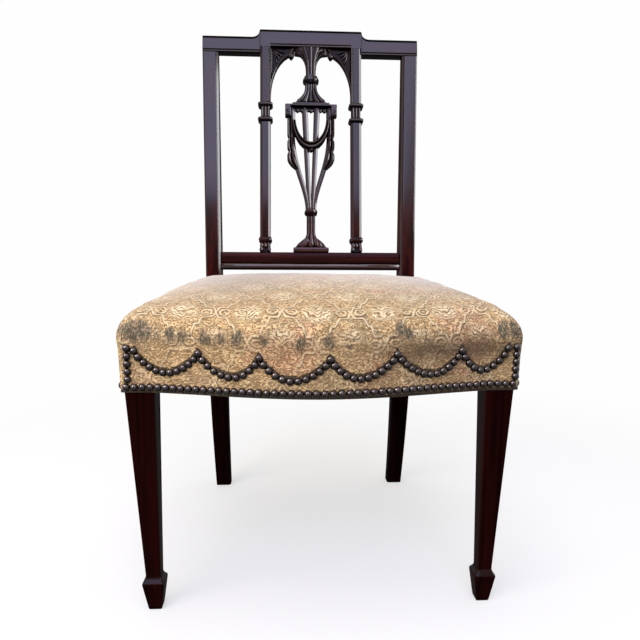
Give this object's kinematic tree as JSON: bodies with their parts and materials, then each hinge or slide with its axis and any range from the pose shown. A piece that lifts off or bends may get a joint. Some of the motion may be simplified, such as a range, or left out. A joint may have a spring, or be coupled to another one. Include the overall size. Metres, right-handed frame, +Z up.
{
  "type": "upholstered dining chair",
  "caption": "Square-backed mahogany dining chair with a pierced urn splat between slim columns, tapered spade-foot legs and a stuffed-over, bow-fronted seat close-nailed in gold cloth.",
  "frame": {"origin": "on the floor, in the middle of the chair's plan box", "axes": "+Z up, the chair faces -Y, +X to the right of someone looking at its front"},
  "size_m": [0.547, 0.5461, 0.9457],
  "materials": {
    "polished_mahogany": "dark French-polished mahogany, glossy, with wear on the edges",
    "seat_frame_beech": "unpolished beech seat frame and corner blocks",
    "jute_webbing": "woven jute webbing",
    "hessian": "coarse hessian base cloth",
    "horsehair_stuffing": "curled horsehair stuffing, not seen",
    "gold_tapestry": "worn gold figured cloth with a small trellis pattern",
    "bronzed_nails": "dark antique-bronzed domed upholstery nails"
  },
  "bodies": {
    "root": {"back_post_left": "polished_mahogany", "back_post_right": "polished_mahogany", "crest_rail": "polished_mahogany", "front_leg_left": "polished_mahogany", "front_leg_right": "polished_mahogany", "lower_back_rail": "polished_mahogany", "spandrel_left": "polished_mahogany", "spandrel_right": "polished_mahogany", "splat_column_left": "polished_mahogany", "splat_column_right": "polished_mahogany", "urn_splat": "polished_mahogany", "front_corner_block_left": "seat_frame_beech", "front_corner_block_right": "seat_frame_beech", "front_seat_rail": "seat_frame_beech", "rear_corner_block_left": "seat_frame_beech", "rear_corner_block_right": "seat_frame_beech", "rear_seat_rail": "seat_frame_beech", "side_seat_rail_left": "seat_frame_beech", "side_seat_rail_right": "seat_frame_beech", "webbing_across_1": "jute_webbing", "webbing_across_2": "jute_webbing", "webbing_across_3": "jute_webbing", "webbing_lengthwise_1": "jute_webbing", "webbing_lengthwise_2": "jute_webbing", "webbing_lengthwise_3": "jute_webbing", "webbing_lengthwise_4": "jute_webbing", "base_hessian": "hessian", "seat_stuffing": "horsehair_stuffing", "seat_cover": "gold_tapestry"}
  },
  "joints": []
}
